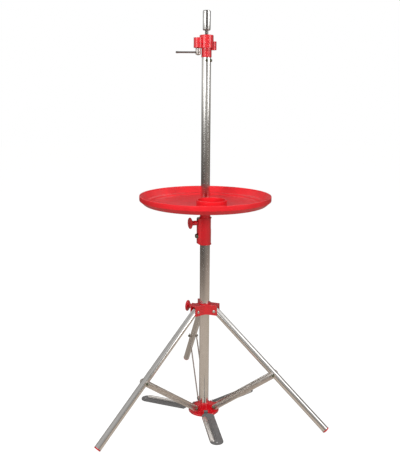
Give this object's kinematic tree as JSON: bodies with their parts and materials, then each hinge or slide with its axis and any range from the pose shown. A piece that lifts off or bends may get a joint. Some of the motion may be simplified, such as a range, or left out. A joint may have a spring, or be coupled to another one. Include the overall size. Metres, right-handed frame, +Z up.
{
  "type": "folding tripod work stand",
  "caption": "Folding tripod stand with a telescopic plated mast, a round red tray, hinged floor plates and a tilting clamp spindle at the top.",
  "frame": {"origin": "centre of the base disc's underside, on the floor", "axes": "+Z up the mast; the legs point at 90, 210 and 330 degrees about it"},
  "size_m": [0.7304, 0.6474, 1.2859],
  "materials": {
    "red_plastic": "glossy moulded plastic",
    "tray_plastic": "glossy moulded plastic",
    "plated_tube": "drawn and plated steel",
    "plated_bar": "plated flat steel",
    "bright_sleeve": "polished chrome",
    "steel_core": "dark turned steel",
    "zinc_fastener": "zinc plated",
    "plate_paint": "dark grey paint",
    "nylon": "black nylon"
  },
  "bodies": {
    "base": {"base_disc": "red_plastic", "tube_base_screw": "zinc_fastener", "strut_pins": "zinc_fastener", "foot_plate_pins": "zinc_fastener", "outer_tube": "plated_tube", "height_clamp": "red_plastic", "clamp_bush": "nylon", "clamp_bolt": "zinc_fastener", "clamp_nut": "zinc_fastener"},
    "hub": {"leg_hub": "red_plastic", "leg_pins": "zinc_fastener"},
    "hub_knob": {"hub_knob": "red_plastic", "hub_knob_screw": "zinc_fastener"},
    "clamp_knob": {"clamp_knob": "red_plastic", "clamp_knob_screw": "zinc_fastener"},
    "tray": {"tray": "tray_plastic"},
    "mast": {"inner_tube": "plated_tube", "tube_end_plug": "nylon", "head_body": "red_plastic", "head_cap": "red_plastic", "ball_seat": "nylon", "head_screws": "zinc_fastener", "lever_bolt": "zinc_fastener", "jaw_bolt": "zinc_fastener", "tilt_pin": "zinc_fastener"},
    "lever": {"lever_barrel": "bright_sleeve", "lever_rod": "plated_tube"},
    "spindle": {"spindle": "steel_core", "sleeve_retainer": "steel_core"},
    "sleeve": {"spindle_sleeve": "bright_sleeve"},
    "leg_back": {"leg_tube_back": "plated_tube", "leg_foot_back": "red_plastic", "leg_plug_back": "nylon"},
    "strut_back": {"strut_bars_back": "plated_bar", "strut_rivets_back": "zinc_fastener"},
    "leg_left": {"leg_tube_left": "plated_tube", "leg_foot_left": "red_plastic", "leg_plug_left": "nylon"},
    "strut_left": {"strut_bars_left": "plated_bar", "strut_rivets_left": "zinc_fastener"},
    "leg_right": {"leg_tube_right": "plated_tube", "leg_foot_right": "red_plastic", "leg_plug_right": "nylon"},
    "strut_right": {"strut_bars_right": "plated_bar", "strut_rivets_right": "zinc_fastener"},
    "plate_right": {"foot_plate_right": "plate_paint"},
    "plate_left": {"foot_plate_left": "plate_paint"},
    "plate_front": {"foot_plate_front": "plate_paint"}
  },
  "joints": [
    {"name": "hub_slide", "type": "slide", "parent": "base", "child": "hub", "axis": [0, 0, 1], "range_m": [0, 0.1844]},
    {"name": "hub_knob_turn", "type": "hinge", "parent": "hub", "child": "hub_knob", "pos_m": [-0.0459, 0.0265, 0.362], "axis": [-0.866, 0.5, 0], "range_deg": [0, 360]},
    {"name": "clamp_knob_turn", "type": "hinge", "parent": "base", "child": "clamp_knob", "pos_m": [-0.04727, -0.00834, 0.646], "axis": [-0.9848, -0.1736, 0], "range_deg": [0, 360]},
    {"name": "tray_swivel", "type": "hinge", "parent": "base", "child": "tray", "pos_m": [0, 0, 0.707], "axis": [0, 0, 1], "continuous": true},
    {"name": "mast_slide", "type": "slide", "parent": "base", "child": "mast", "axis": [0, 0, 1], "range_m": [-0.38, 0.04]},
    {"name": "lever_turn", "type": "hinge", "parent": "mast", "child": "lever", "pos_m": [-0.02656, -0.00712, 1.165], "axis": [0, 0, 1], "range_deg": [0, 100]},
    {"name": "spindle_tilt", "type": "hinge", "parent": "mast", "child": "spindle", "pos_m": [0, 0, 1.195], "axis": [-0.164, -0.9865, 0], "range_deg": [-20, 20]},
    {"name": "sleeve_swivel", "type": "hinge", "parent": "spindle", "child": "sleeve", "pos_m": [0, 0, 1.257], "axis": [0, 0, 1], "continuous": true},
    {"name": "leg_fold_back", "type": "hinge", "parent": "hub", "child": "leg_back", "pos_m": [0, 0.038, 0.3585], "axis": [-1, 0, 0], "range_deg": [0, 43.4]},
    {"name": "strut_fold_back", "type": "hinge", "parent": "base", "child": "strut_back", "pos_m": [0, 0.0415, 0.0205], "axis": [1, 0, 0], "range_deg": [0, 49.9]},
    {"name": "leg_fold_left", "type": "hinge", "parent": "hub", "child": "leg_left", "pos_m": [-0.03291, -0.019, 0.3585], "axis": [0.5, -0.866, 0], "range_deg": [0, 43.4]},
    {"name": "strut_fold_left", "type": "hinge", "parent": "base", "child": "strut_left", "pos_m": [-0.03594, -0.02075, 0.0205], "axis": [-0.5, 0.866, 0], "range_deg": [0, 49.9]},
    {"name": "leg_fold_right", "type": "hinge", "parent": "hub", "child": "leg_right", "pos_m": [0.03291, -0.019, 0.3585], "axis": [0.5, 0.866, 0], "range_deg": [0, 43.4]},
    {"name": "strut_fold_right", "type": "hinge", "parent": "base", "child": "strut_right", "pos_m": [0.03594, -0.02075, 0.0205], "axis": [-0.5, -0.866, 0], "range_deg": [0, 49.9]},
    {"name": "plate_fold_right", "type": "hinge", "parent": "base", "child": "plate_right", "pos_m": [0.03291, 0.019, 0.012], "axis": [0.5, -0.866, 0], "range_deg": [0, 88]},
    {"name": "plate_fold_left", "type": "hinge", "parent": "base", "child": "plate_left", "pos_m": [-0.03291, 0.019, 0.012], "axis": [0.5, 0.866, 0], "range_deg": [0, 88]},
    {"name": "plate_fold_front", "type": "hinge", "parent": "base", "child": "plate_front", "pos_m": [0, -0.038, 0.012], "axis": [-1, 0, 0], "range_deg": [0, 88]}
  ],
  "couplings": [
    {"joint": "leg_fold_back", "follows": "hub_slide", "rad_per_m": 4.103},
    {"joint": "strut_fold_back", "follows": "hub_slide", "rad_per_m": 4.7115},
    {"joint": "leg_fold_left", "follows": "hub_slide", "rad_per_m": 4.103},
    {"joint": "strut_fold_left", "follows": "hub_slide", "rad_per_m": 4.7115},
    {"joint": "leg_fold_right", "follows": "hub_slide", "rad_per_m": 4.103},
    {"joint": "strut_fold_right", "follows": "hub_slide", "rad_per_m": 4.7115}
  ]
}
